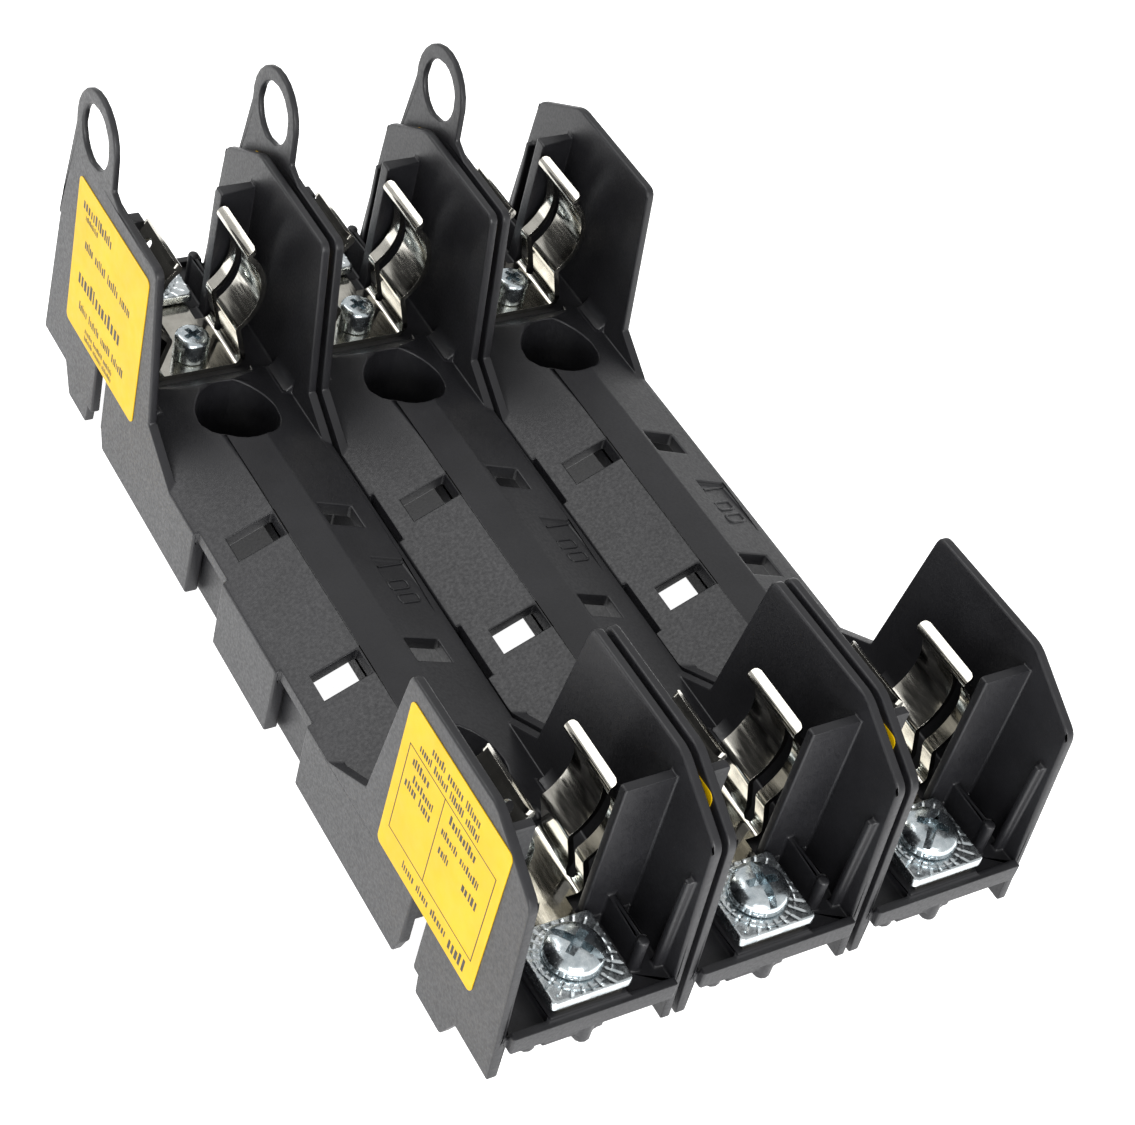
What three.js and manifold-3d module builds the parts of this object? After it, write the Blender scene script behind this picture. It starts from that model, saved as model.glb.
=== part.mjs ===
// Three-pole block for ferrule cartridge fuses, 20.6 mm in diameter and 127 mm long. Three moulded
// poles stand side by side and hook into each other. Each pole has a spring clip, a clip screw, a
// wire plate, a terminal screw, a captive nut and a label at its line end (+Y, the end with the
// finger ring) and the same again, mirrored, at its load end (-Y).
// Millimetres. Z = 0 is the panel the block stands on, X runs across the poles, Y along the fuses.
// A pole is drawn in its own x, from 0 at its left wall; sizes along Y are distances from the middle.
import * as THREE from "three";
import { mergeVertices } from "three/addons/utils/BufferGeometryUtils.js";
import Module from "manifold-3d";

const wasm = await Module();
wasm.setup();
const { Manifold, Mesh: SolidMesh } = wasm;

// ---------------------------------------------------------------- driving dimensions
const POLES = 3;
const PITCH = 30; // from one pole to the next
const POLE_WIDTH = 29.1;
const WALL = 1.5; // side walls
const END = 80.5; // front lip of the terminal floor
const TABS_OUT = 2.5; // how far a pole's hooks stand out of its right side
const LABEL_THICK = 0.3;
const BBOX_MIDDLE_X = ((POLES - 1) * PITCH + POLE_WIDTH + TABS_OUT - LABEL_THICK) / 2;

const MID = 14.5; // x of the fuse axis in a pole
const CLIP_Y = 57.15; // middle of a clip: half of 127 mm less half a clip
const CLIP_WIDE = 12;
const AXIS_Z = 30.4; // height of the fuse axis
const STRIP = 0.9; // clip strip
const BARREL = 9.3; // radius of the strip's middle line round the ferrule
const SEAT_Z = 15; // shelf and terminal platform, on which the strip lies

const TERM = { x: 13.8, y: 73.2 }; // terminal screw
const PLATE = { wide: 12.6, long: 12.2, thick: 1.7, z: 16.2 };
const SHANK = 4.8; // no. 10 screw
const RUNNING = 5.6; // clearance hole round it
const PARTITION_Y = 65.4; // cross ribs between clip and terminal
const PIT = { x: 15.6, y: 38.6, r: 6.8, floor: 5 }; // counterbore of a panel screw

const CLIP_SCREW_Y = 55;
const RECESS_WIDE = 1.1; // slots and crosses in the screw heads
const RIGHT = POLE_WIDTH - WALL; // inner face of the right wall
const SINK = 0.5; // how far joined solids reach into each other
const SHARPEST_MITRE = 0.6; // keeps a strip's corner from running out to a spike

// ---------------------------------------------------------------- solids
/** A three.js geometry as a solid that can be cut and joined. */
function solid(geometry) {
  const bare = geometry.index ? geometry.toNonIndexed() : geometry.clone();
  bare.deleteAttribute("normal");
  bare.deleteAttribute("uv");
  const g = mergeVertices(bare, 1e-3);
  return new Manifold(
    new SolidMesh({
      numProp: 3,
      vertProperties: g.attributes.position.array,
      triVerts: new Uint32Array(g.index.array),
    }),
  );
}

/** A box between two corners. */
function box(x0, x1, y0, y1, z0, z1) {
  const g = new THREE.BoxGeometry(x1 - x0, y1 - y0, z1 - z0);
  return solid(g.translate((x0 + x1) / 2, (y0 + y1) / 2, (z0 + z1) / 2));
}

/** An upright cylinder or cone. */
function post(x, y, z0, z1, r, rTop = r, segments = 20) {
  const g = new THREE.CylinderGeometry(rTop, r, z1 - z0, segments);
  return solid(g.rotateX(Math.PI / 2).translate(x, y, (z0 + z1) / 2));
}

const shapeOf = (points) => new THREE.Shape(points.map(([a, b]) => new THREE.Vector2(a, b)));

/** An outline given as (y, z), with a thickness from x0 to x1, as a geometry. */
function acrossGeometry(points, x0, x1, holes = []) {
  const s = shapeOf(points);
  s.holes = holes.map(([y, z, r]) => new THREE.Path().absarc(y, z, r, 0, 2 * Math.PI));
  const g = new THREE.ExtrudeGeometry(s, { depth: x1 - x0, bevelEnabled: false, curveSegments: 10 });
  return g.rotateX(Math.PI / 2).rotateZ(Math.PI / 2).translate(x0, 0, 0);
}

const plateAcross = (points, x0, x1, holes) => solid(acrossGeometry(points, x0, x1, holes));

/** A section given as (x, z), run along Y from y0 to y1. */
function runAlong(points, y0, y1) {
  const g = new THREE.ExtrudeGeometry(shapeOf(points), { depth: y1 - y0, bevelEnabled: false });
  return solid(g.rotateX(Math.PI / 2).translate(0, y1, 0));
}

/** A plan outline given as (x, y), raised from z0 to z1. */
function raised(points, z0, z1) {
  const g = new THREE.ExtrudeGeometry(shapeOf(points), { depth: z1 - z0, bevelEnabled: false });
  return solid(g.translate(0, 0, z0));
}

const join = (list) => list.reduce((a, b) => a.add(b));
const cut = (from, list) => list.reduce((a, b) => a.subtract(b), from);

/** A solid's triangles as a three.js geometry. */
function geometryOf(s) {
  const m = s.getMesh();
  const g = new THREE.BufferGeometry();
  g.setAttribute("position", new THREE.BufferAttribute(new Float32Array(m.vertProperties), 3));
  g.setIndex(new THREE.BufferAttribute(new Uint32Array(m.triVerts), 1));
  return g;
}

/** The same solid at the load end, its faces turned to point outwards again. */
function mirrored(s) {
  const g = geometryOf(s).scale(1, -1, 1);
  g.index.array.reverse();
  return solid(g);
}

const bothEnds = (list) => list.flatMap((s) => [s, mirrored(s)]);

/** The outline of a strip of even thickness bent along a middle line, mitred at its bends. */
function stripOutline(line, thick) {
  const points = line.map(([x, z]) => new THREE.Vector2(x, z));
  const along = points.slice(1).map((p, i) => p.clone().sub(points[i]).normalize());
  const side = (sign) =>
    line.map(([x, z], i) => {
      const before = along[Math.max(i - 1, 0)];
      const after = along[Math.min(i, along.length - 1)];
      const d = before.clone().add(after).normalize();
      const reach = (sign * thick) / 2 / Math.max(d.dot(after), SHARPEST_MITRE);
      return [x - d.y * reach, z + d.x * reach];
    });
  return [...side(-1), ...side(1).reverse()];
}

/** Points along an arc, its angles in degrees from the first axis towards the second. */
const arc = (cx, cz, r, from, to, steps) =>
  Array.from({ length: steps + 1 }, (_, i) => {
    const a = THREE.MathUtils.degToRad(from + ((to - from) * i) / steps);
    return [cx + r * Math.cos(a), cz + r * Math.sin(a)];
  });

// ---------------------------------------------------------------- moulded pole
const ROOF_END = 49.8; // the roof stops here and the clip shelf starts
const RAMP = { y: 45.3, z: 15.2 }; // the roof's end slopes from its ridge at this y down to this height
const ROOF = [
  [0, 0],
  [POLE_WIDTH, 0],
  [POLE_WIDTH, 14],
  [17.6, 18.4],
  [11, 18.4],
  [0, 12.8],
];
// Shallow recess for a name on the right slope: from x along the slope, deepest at its y1 end.
const NAME_RECESS = { x: 22, long: 6.2, y0: -8.8, y1: 3.4, deep: 0.5 };
const UNDER_ROOF = [
  [2.2, -1],
  [POLE_WIDTH - 2.2, -1],
  [POLE_WIDTH - 2.2, 12.4],
  [17.2, 16.2],
  [11.4, 16.2],
  [2.2, 11.5],
];
// A side wall from the roof's side to the end, as (y, z), from the bottom round to the bottom.
const WALL_EDGE = [
  [26, 4],
  [28.6, 12.8],
  [38.4, 18.6],
  [42.2, 45.6],
  [65.6, 45.9],
  [77.3, 39.3],
  [79.8, 5.2],
  [70.4, 5.2],
  [68, 0],
  [60.6, 0],
  [60.2, 3.4],
  [54.6, 3.4],
  [53.4, 0],
  [26, 0],
];
const CORNER = { above: 30, reach: 1.5, steps: 4 }; // rounding of the walls' upper corners
const RING = { y: 67.9, z: 52, r: 7.6, hole: 5.1, thick: 1.1 };
// Finger ring that stands on the left wall at the line end.
const RING_EDGE = [
  [58, 40],
  [56.4, 45.7],
  [60, 47.4],
  ...arc(RING.y, RING.z, RING.r, 172, -14, 12),
  [78.6, 30],
  [66, 30],
];
const HOOKS = [
  [8.6, 19.2],
  [-21.3, -10.7],
]; // y spans of the two pockets that join pole to pole
const WINDOWS = [13, -16.7]; // y of the two pairs of windows in the roof
const WINDOW_HALF = 2.4;
const WEBS = [
  [23, 25.2],
  [-27.4, -25.2],
]; // y spans of the cross webs under the roof

// Cross ribs between clip and terminal. Each is a rib on the left wall and one on the right, given
// by the x of its free edge and its height. At the line end their free edges are thicker.
const LINE_RIBS = { left: [8.4, 37.2], right: [21.2, 40], edge: 2.4 };
const LOAD_RIBS = { left: [6.4, 40.9], right: [19.4, 42.2], edge: 1.4 };
const RIB_THICK = 1.4;

/** A wall's outline with its upper corners rounded, each by a parabola between its two sides. */
function softened(points) {
  return points.flatMap(([y, z], i) => {
    if (z < CORNER.above) return [[y, z]];
    const corner = new THREE.Vector2(y, z);
    const [before, after] = [points.at(i - 1), points[(i + 1) % points.length]].map(([a, b]) =>
      new THREE.Vector2(a, b).sub(corner).setLength(CORNER.reach).add(corner),
    );
    const bend = new THREE.QuadraticBezierCurve(before, corner, after);
    return bend.getPoints(CORNER.steps).map((p) => [p.x, p.y]);
  });
}

/** The box-shaped middle of a pole: a gabled roof on two side walls, open underneath. */
function roof() {
  const shell = runAlong(ROOF, -ROOF_END, ROOF_END);
  const hollow = cut(runAlong(UNDER_ROOF, -ROOF_END - 1, ROOF_END + 1), [
    ...WEBS.map(([y0, y1]) => box(0, POLE_WIDTH, y0, y1, -2, 20)),
    box(11, 12.6, -26, 24, 12.8, 20), // rib along the underside of the ridge
    ...bothEnds([
      post(PIT.x, PIT.y, -2, 20, PIT.r + 2),
      box(0, POLE_WIDTH, ROOF_END - 2, ROOF_END + 2, -2, 20),
    ]),
  ]);
  const pocketBacks = HOOKS.map(([y0, y1]) => box(2.5, 4.4, y0 - 1.6, y1 + 1.6, 0, 13));
  return join([cut(shell, [hollow]), ...pocketBacks]);
}

/** The finger ring, cut from a thinner plate than the wall it grows out of. */
const fingerRing = () => plateAcross(RING_EDGE, 0, RING.thick, [[RING.y, RING.z, RING.hole]]);

/** The two cross ribs that part the clip's bay from the terminal's. */
function crossRibs({ left, right, edge }) {
  const back = PARTITION_Y + RIB_THICK;
  const [leftX, leftZ] = left;
  const [rightX, rightZ] = right;
  const leftPlan = [
    [1, PARTITION_Y],
    [leftX, back - edge],
    [leftX, back],
    [1, back],
  ];
  const rightPlan = [
    [rightX, back - edge],
    [RIGHT + SINK, PARTITION_Y],
    [RIGHT + SINK, back],
    [rightX, back],
  ];
  return join([raised(leftPlan, 12, leftZ), raised(rightPlan, 12, rightZ)]);
}

/** A hollow fillet between the roof's slope and the right wall, as an (x, z) section. */
const wallFillet = [
  ...arc(RIGHT - 2.8, 18, 2.8, -70, 0, 5),
  [RIGHT + SINK, 18],
  [RIGHT + SINK, 12],
  [RIGHT - 4, 13],
];

/** Side walls, floors, ribs and bosses of the line end, or of the load end before it is mirrored. */
function endOfPole(ribs) {
  return join([
    plateAcross(softened(WALL_EDGE), 0, WALL),
    plateAcross(softened(WALL_EDGE), RIGHT, POLE_WIDTH),
    box(1, RIGHT + SINK, ROOF_END - 1, 67, 11.8, SEAT_Z), // clip shelf
    box(1, RIGHT + SINK, 66, END - 1.2, 11.3, 13.4), // terminal floor
    box(WALL + 0.1, RIGHT - 0.1, 79.2, END, 11.3, 14.5), // front lip
    box(7.6, 20, 66, 79.6, 11.5, SEAT_Z), // platform under the strap
    crossRibs(ribs),
    box(RIGHT - 1.3, RIGHT + SINK, 75.2, 76.4, 12, 31.6), // stop rib on the right wall
    box(22.9, 24.1, 66, 75, 12, 19.2), // wire guide beside the plate, with a stop at its end
    post(23.5, 75.2, 12, 19.5, 0.9, 0.9, 12),
    box(9, 18.6, 68, 78.4, 6.3, 12), // pocket housing of the nut
    post(15.9, 77.6, 4.6, 12, 1.4, 1.4, 12), // ejector bosses by it
    post(6.4, 77.6, 7.4, 12, 1.5, 1.5, 12),
    post(MID, CLIP_SCREW_Y, 4, 13, 3.2, 3.2, 20), // boss the clip screw bites into
    runAlong(wallFillet, 43, ROOF_END),
    runAlong([[WALL, 12], [6.4, 14], [WALL, 18.6]], 44, ROOF_END), // fillet by the left wall
  ]);
}

/** What is taken out of an end: bores, the nut's pocket, the slot in the left wall and the ramp. */
function endCuts() {
  const ridge = ROOF[3][1];
  const ramp = [
    [RAMP.y, ridge],
    [ROOF_END + 0.1, RAMP.z],
    [ROOF_END + 0.1, ridge + 1],
    [RAMP.y, ridge + 1],
  ];
  return [
    post(TERM.x, TERM.y, 0, 20, RUNNING / 2),
    box(TERM.x - 4.3, TERM.x + 4.3, TERM.y - 4.3, TERM.y + 4.3, 11.1, 20),
    post(MID, CLIP_SCREW_Y, 0, 20, 1.6, 1.6, 16),
    box(-1, 1.9, 54.8, 58.8, -1, 13.6),
    post(PIT.x, PIT.y, PIT.floor, 30, PIT.r, PIT.r, 28),
    post(PIT.x, PIT.y, -1, 10, 2.7),
    plateAcross(ramp, 6.5, RIGHT - 5),
  ];
}

/** Pockets in the left side that take the hooks of the pole to the left. */
const hookPockets = () =>
  HOOKS.flatMap(([y0, y1]) => [box(-1, 2.5, y0, y1, -1, 11.3), box(-1, 0.8, y0, y1, 10, 16)]);

/** Dovetailed hooks on the right side. */
const hooks = () =>
  HOOKS.map(([y0, y1]) => {
    const plan = [
      [POLE_WIDTH - SINK, y0 + 1.6],
      [POLE_WIDTH + TABS_OUT, y0 + 0.5],
      [POLE_WIDTH + TABS_OUT, y1 - 0.5],
      [POLE_WIDTH - SINK, y1 - 1.6],
    ];
    return raised(plan, 0.6, 10.6);
  });

/** The cut of the name recess, a wedge that lies on the right slope. */
function nameRecess() {
  const [[lowX, lowZ], [highX, highZ]] = [ROOF[2], ROOF[3]];
  const fall = (highZ - lowZ) / (lowX - highX);
  const { x, long, y0, y1, deep } = NAME_RECESS;
  const wedge = [
    [y0, 0],
    [y1, -deep],
    [y1, 2],
    [y0, 2],
  ];
  const g = acrossGeometry(wedge, 0, long).rotateY(Math.atan(fall));
  return solid(g.translate(x, 0, highZ - fall * (x - highX)));
}

/** A whole moulded pole. */
function base() {
  const line = endOfPole(LINE_RIBS).add(fingerRing());
  const load = mirrored(endOfPole(LOAD_RIBS));
  const windows = WINDOWS.flatMap((y) => [
    box(3.6, 10.8, y - WINDOW_HALF, y + WINDOW_HALF, 8, 25),
    box(18.3, 24.6, y - WINDOW_HALF, y + WINDOW_HALF, 8, 25),
  ]);
  const whole = join([roof(), line, load, ...hooks()]);
  return cut(whole, [...bothEnds(endCuts()), ...hookPockets(), ...windows, nameRecess()]);
}

// ---------------------------------------------------------------- metal parts
// Middle line of the clip's right leg, from the middle of its base, as (x, z).
const LEG = [
  [0, SEAT_Z + STRIP / 2],
  [6.7, SEAT_Z + STRIP / 2],
  [7.6, SEAT_Z + 1.4],
  ...arc(0, AXIS_Z, BARREL, -51, 50, 12),
  [6.1, 38.2],
  [7.4, 38.7],
];
const SLOT = { y0: 58.85, y1: 60.95, foot: SEAT_Z + 1.6, top: 35.6 }; // parts a leg into two fingers

/** Spring clip with its terminal strap, one strip. */
function clip() {
  const leftLeg = LEG.slice(1).map(([x, z]) => [-x, z]);
  const line = [...leftLeg.reverse(), ...LEG].map(([x, z]) => [x + MID, z]);
  const outer = CLIP_Y + CLIP_WIDE / 2;
  const bent = runAlong(stripOutline(line, STRIP), CLIP_Y - CLIP_WIDE / 2, outer);
  const strap = box(8.6, 19, outer - SINK, 79, SEAT_Z, SEAT_Z + STRIP);
  return cut(bent.add(strap), [
    box(MID - 12, MID - 4, SLOT.y0, SLOT.y1, SLOT.foot, SLOT.top),
    box(MID + 4, MID + 12, SLOT.y0, SLOT.y1, SLOT.foot, SLOT.top),
    post(TERM.x, TERM.y, 10, 20, RUNNING / 2, RUNNING / 2, 20),
    post(MID, CLIP_SCREW_Y, 10, 20, 2.2, 2.2, 16),
  ]);
}

/** The cuts of a cross recess, `deep` below the head's top, its arms `span` long. */
function crossRecess(x, y, top, deep, span) {
  const half = RECESS_WIDE / 2;
  return [
    box(x - span, x + span, y - half, y + half, top - deep, top + 1),
    box(x - half, x + half, y - span, y + span, top - deep, top + 1),
  ];
}

/** A solid of revolution about an upright axis, from an (r, z) profile. */
function turned(x, y, profile, segments = 20) {
  const points = profile.map(([r, z]) => new THREE.Vector2(r, z));
  return solid(new THREE.LatheGeometry(points, segments).rotateX(Math.PI / 2).translate(x, y, 0));
}

/** Screw that holds a clip down, with a tall cheese head. */
function clipScrew() {
  const seat = SEAT_Z + STRIP + 0.1;
  const top = 20.4;
  const profile = [
    [0, 6],
    [1.2, 6.4],
    [1.4, 7],
    [1.4, seat],
    [2.9, seat],
    [2.9, top],
    [0, top],
  ];
  return cut(turned(MID, CLIP_SCREW_Y, profile, 16), crossRecess(MID, CLIP_SCREW_Y, top, 1.6, 1.7));
}

/** Pan-head terminal screw with a combined slot and cross. */
function terminalScrew() {
  const seat = PLATE.z + PLATE.thick + 0.25;
  const top = seat + 3;
  const r = SHANK / 2;
  const profile = [
    [0, 6],
    [r - 0.8, 6],
    [r, 6.9],
    [r, seat],
    [4.35, seat],
    [4.35, seat + 1.1],
    [3.7, seat + 2.2],
    [2.4, seat + 2.8],
    [0, top],
  ];
  const half = RECESS_WIDE / 2;
  const slot = box(TERM.x - 5, TERM.x + 5, TERM.y - half, TERM.y + half, top - 1.33, top + 1);
  return cut(turned(TERM.x, TERM.y, profile), [...crossRecess(TERM.x, TERM.y, top, 1.9, 2), slot]);
}

/** Square plate that presses the wire. */
function wirePlate() {
  const { wide, long, thick, z } = PLATE;
  const { x, y } = TERM;
  const plate = box(x - wide / 2, x + wide / 2, y - long / 2, y + long / 2, z, z + thick);
  return cut(plate, [post(x, y, 10, 20, RUNNING / 2)]);
}

/** Square nut, held from turning by its pocket. */
function nut() {
  const block = box(TERM.x - 4, TERM.x + 4, TERM.y - 4, TERM.y + 4, 11.4, 14.7);
  return cut(block, [post(TERM.x, TERM.y, 5, 20, 2.65)]);
}

/** Label on the outer face of the left wall. */
const label = () => box(-LABEL_THICK, 0, 43.9, 71.6, 14, 42.6);

// ---------------------------------------------------------------- assembly
const FINISH = {
  body: { color: 0x1b1b1d, roughness: 0.55, metalness: 0 },
  clip: { color: 0xc9c7c0, roughness: 0.18, metalness: 1 },
  zinc: { color: 0xbfc3c6, roughness: 0.3, metalness: 1 },
  label: { color: 0xf7d417, roughness: 0.45, metalness: 0 },
};

/** A solid as a named mesh. */
function piece(name, made, finish) {
  const g = geometryOf(made);
  g.computeVertexNormals();
  const mesh = new THREE.Mesh(g, new THREE.MeshStandardMaterial(finish));
  mesh.name = name;
  return mesh;
}

const END_PIECES = {
  clip: [clip(), FINISH.clip],
  clip_screw: [clipScrew(), FINISH.zinc],
  terminal_nut: [nut(), FINISH.zinc],
  wire_plate: [wirePlate(), FINISH.zinc],
  terminal_screw: [terminalScrew(), FINISH.zinc],
  label: [label(), FINISH.label],
};
const ENDS = { line: 1, load: -1 }; // the load end is the line end mirrored

const block = new THREE.Group();
const moulding = base();
for (let number = 1; number <= POLES; number++) {
  const pole = new THREE.Group();
  pole.position.x = (number - 1) * PITCH - BBOX_MIDDLE_X;
  pole.add(piece(`pole${number}_base`, moulding, FINISH.body));
  for (const [end, side] of Object.entries(ENDS)) {
    for (const [what, [made, finish]] of Object.entries(END_PIECES)) {
      const mesh = piece(`pole${number}_${end}_${what}`, made, finish);
      mesh.scale.y = side;
      pole.add(mesh);
    }
  }
  block.add(pole);
}

export default block;
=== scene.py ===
"""Looks of a three-pole block for ferrule cartridge fuses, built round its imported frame.

Metres in the frame; sizes are written in millimetres and made metres once, by place(). A point of a
pole is (x from the pole's left wall, distance from the middle towards the end, z from the panel).
"""
from __future__ import annotations

import logging
import math
from contextlib import contextmanager
from dataclasses import dataclass
from enum import Enum
from typing import Iterator, Sequence

import bmesh
import bpy
import numpy as np
from mathutils import Matrix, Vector
from mathutils.bvhtree import BVHTree


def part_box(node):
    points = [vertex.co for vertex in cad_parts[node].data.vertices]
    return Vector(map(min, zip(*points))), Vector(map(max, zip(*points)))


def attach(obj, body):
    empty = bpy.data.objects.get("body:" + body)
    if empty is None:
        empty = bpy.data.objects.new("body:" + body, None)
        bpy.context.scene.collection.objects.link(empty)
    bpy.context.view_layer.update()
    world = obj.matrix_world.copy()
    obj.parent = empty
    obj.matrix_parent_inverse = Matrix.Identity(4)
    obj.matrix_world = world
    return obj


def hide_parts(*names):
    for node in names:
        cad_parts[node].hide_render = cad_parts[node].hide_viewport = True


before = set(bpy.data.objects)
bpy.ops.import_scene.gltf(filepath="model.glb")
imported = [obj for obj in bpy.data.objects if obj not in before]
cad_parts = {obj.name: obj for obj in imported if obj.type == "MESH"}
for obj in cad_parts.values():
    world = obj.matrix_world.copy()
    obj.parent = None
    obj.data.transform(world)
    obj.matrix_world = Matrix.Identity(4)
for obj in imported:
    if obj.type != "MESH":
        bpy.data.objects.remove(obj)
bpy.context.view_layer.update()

Piece = bpy.types.Object
MM = 0.001
POLES = (1, 2, 3)
DRIFT_STOPS = (0.35, 0.68)  # patch noise at which a finish is all dark and all light
FLECK_SPAN = (0.3, 0.7)  # of the fleck noise, spread over the roughness limits
SEED = 7  # of the ink's letter widths
log = logging.getLogger("fuse_block")


class End(Enum):
    """The two ends of a pole, with the side of the middle they lie on."""

    LINE = ("line", 1.0)
    LOAD = ("load", -1.0)

    @property
    def label(self) -> str:
        """The end's word in the names of nodes."""
        return self.value[0]

    @property
    def side(self) -> float:
        """1 on the +Y side, -1 on the -Y side."""
        return self.value[1]


class Body(Enum):
    """What a piece of an end rides on."""

    BLOCK = "block"
    PLATE = "plate_body"
    SCREW = "screw_body"


@dataclass(frozen=True)
class Station:
    """One end of one pole: turns its own millimetres into places in the frame."""

    pole: int
    end: End

    def node(self, what: str) -> str:
        """The name of this end's CAD node."""
        return f"pole{self.pole}_{self.end.label}_{what}"

    def body(self, kind: Body) -> str:
        """The name of the body a piece rides on."""
        if kind is Body.BLOCK:
            return kind.value
        return f"pole{self.pole}_{self.end.label}_{kind.value}"

    def place(self, points: np.ndarray) -> np.ndarray:
        """Moves an end's points into the frame.

        Args:
            points: N x 3 millimetres in the end's own coordinates.

        Returns:
            N x 3 metres: x plus the pole's left wall, y times the end's side, z as it is.
        """
        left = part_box(f"pole{self.pole}_base")[0][0]
        return points * MM * np.array([1.0, self.end.side, 1.0]) + np.array([left, 0.0, 0.0])


# ------------ meshes
@dataclass
class Surface:
    """Points and faces of a piece in millimetres, before it is placed."""

    points: np.ndarray
    faces: list

    def plus(self, other: "Surface") -> "Surface":
        """This surface and another as one, not merged."""
        shift = len(self.points)
        moved = [tuple(i + shift for i in face) for face in other.faces]
        return Surface(np.vstack([self.points, other.points]), self.faces + moved)


def grid_surface(points: np.ndarray, close_rows: bool = False, close_cols: bool = False) -> Surface:
    """A surface from a grid of points, one quad between each four neighbours.

    Args:
        points: rows x columns x 3.
        close_rows: joins the last row to the first.
        close_cols: joins the last column to the first.

    Returns:
        The surface; its faces look along (step to next row) x (step to next column), reversed.
    """
    rows, cols = points.shape[:2]
    index = np.arange(rows * cols).reshape(rows, cols)
    if close_rows:
        index = np.vstack([index, index[:1]])
    if close_cols:
        index = np.hstack([index, index[:, :1]])
    quads = np.stack([index[:-1, :-1], index[:-1, 1:], index[1:, 1:], index[1:, :-1]], axis=-1)
    return Surface(points.reshape(-1, 3), quads.reshape(-1, 4).tolist())


def smooth_path(corners: Sequence[Sequence[float]], radius: float, step: float) -> np.ndarray:
    """A polyline with its corners rounded, sampled evenly.

    Each corner is replaced by the parabola from `radius` before it to `radius` after it, and the
    result is resampled at equal distances along itself.

    Args:
        corners: the polyline's points.
        radius: how far along each leg a corner's rounding reaches.
        step: distance between samples.

    Returns:
        N x D points.
    """
    p = np.asarray(corners, dtype=float)
    before, corner, after = p[:-2], p[1:-1], p[2:]
    back, ahead = before - corner, after - corner
    back_long = np.linalg.norm(back, axis=1, keepdims=True)
    ahead_long = np.linalg.norm(ahead, axis=1, keepdims=True)
    start = corner + back / back_long * np.minimum(radius, back_long * 0.5)
    end = corner + ahead / ahead_long * np.minimum(radius, ahead_long * 0.5)
    t = np.linspace(0.0, 1.0, 7)[None, :, None]
    bends = (1 - t) ** 2 * start[:, None] + 2 * t * (1 - t) * corner[:, None] + t**2 * end[:, None]
    dense = np.vstack([p[:1], bends.reshape(-1, p.shape[1]), p[-1:]])
    along = np.concatenate([[0.0], np.cumsum(np.linalg.norm(np.diff(dense, axis=0), axis=1))])
    keep = np.concatenate([[True], np.diff(along) > 1e-9])
    dense, along = dense[keep], along[keep]
    at = np.linspace(0.0, along[-1], max(2, int(round(along[-1] / step)) + 1))
    return np.stack([np.interp(at, along, dense[:, k]) for k in range(p.shape[1])], axis=1)


def rounded_rectangle(
    half_x: float, half_y: float, radius: float, per_side: int, per_corner: int
) -> np.ndarray:
    """The outline of a rectangle with round corners, anticlockwise from the middle of its +X side.

    Args:
        half_x, half_y: half its sides.
        radius: of its corners.
        per_side: points along each straight side.
        per_corner: points round each corner.

    Returns:
        N x 2 points.
    """
    cx, cy = half_x - radius, half_y - radius
    runs = []
    for k, (sx, sy) in enumerate([(1, 1), (-1, 1), (-1, -1), (1, -1)]):
        angle = math.pi / 2 * (k + np.linspace(0.0, 1.0, per_corner))
        centre = np.array([sx * cx, sy * cy])
        runs.append(centre + radius * np.stack([np.cos(angle), np.sin(angle)], axis=1))
    loop = []
    for k, run in enumerate(runs):
        following = runs[(k + 1) % 4][0]
        t = np.linspace(0.0, 1.0, per_side + 2)[1:-1, None]
        loop += [run, run[-1] * (1 - t) + following * t]
    return np.vstack(loop)


@contextmanager
def edited(mesh: bpy.types.Mesh) -> Iterator[bmesh.types.BMesh]:
    """Opens a mesh for editing, and writes the edit back to it."""
    edit = bmesh.new()
    edit.from_mesh(mesh)
    yield edit
    edit.to_mesh(mesh)
    edit.free()


def link(name: str, data: bpy.types.ID) -> Piece:
    """Puts a mesh, light or camera into the scene as an object at the origin."""
    made = bpy.data.objects.new(name, data)
    bpy.context.scene.collection.objects.link(made)
    return made


def make_piece(
    name: str, surface: Surface, station: Station, merge: float = 1e-4
) -> Piece:
    """Puts a surface into the scene as a piece, its doubles merged and its faces outward.

    Args:
        name: the piece's name.
        surface: its points in the end's millimetres, and its faces.
        station: where it belongs.
        merge: distance in millimetres under which points become one.

    Returns:
        The object, at the origin, with its place in its mesh.
    """
    mesh = bpy.data.meshes.new(name)
    faces = surface.faces
    if station.end.side < 0:
        faces = [face[::-1] for face in faces]
    mesh.from_pydata(station.place(surface.points), [], faces)
    with edited(mesh) as edit:
        bmesh.ops.remove_doubles(edit, verts=edit.verts, dist=merge * MM)
        bmesh.ops.dissolve_degenerate(edit, edges=edit.edges, dist=merge * MM)
    return link(name, mesh)


def turn_outward(piece: Piece) -> None:
    """Turns a closed piece's faces outwards."""
    with edited(piece.data) as edit:
        bmesh.ops.recalc_face_normals(edit, faces=edit.faces)


def shade_smooth(piece: Piece, sharp_degrees: float = 32.0) -> None:
    """Smooths a piece's shading, apart from edges sharper than an angle."""
    piece.data.shade_smooth()
    limit = math.radians(sharp_degrees)
    with edited(piece.data) as edit:
        for edge in edit.edges:
            edge.smooth = edge.is_manifold and edge.calc_face_angle(0.0) < limit


def soften_edges(
    piece: Piece, width: float, segments: int = 2, angle: float = 32.0
) -> None:
    """Rounds a piece's edges with a Bevel modifier.

    Args:
        piece: the piece.
        width: of the rounding, in millimetres.
        segments: faces across it.
        angle: edges flatter than this many degrees stay.
    """
    bevel = piece.modifiers.new("edges", "BEVEL")
    bevel.width = width * MM
    bevel.segments = segments
    bevel.limit_method = "ANGLE"
    bevel.angle_limit = math.radians(angle)
    bevel.use_clamp_overlap = True
    bevel.harden_normals = True


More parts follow.
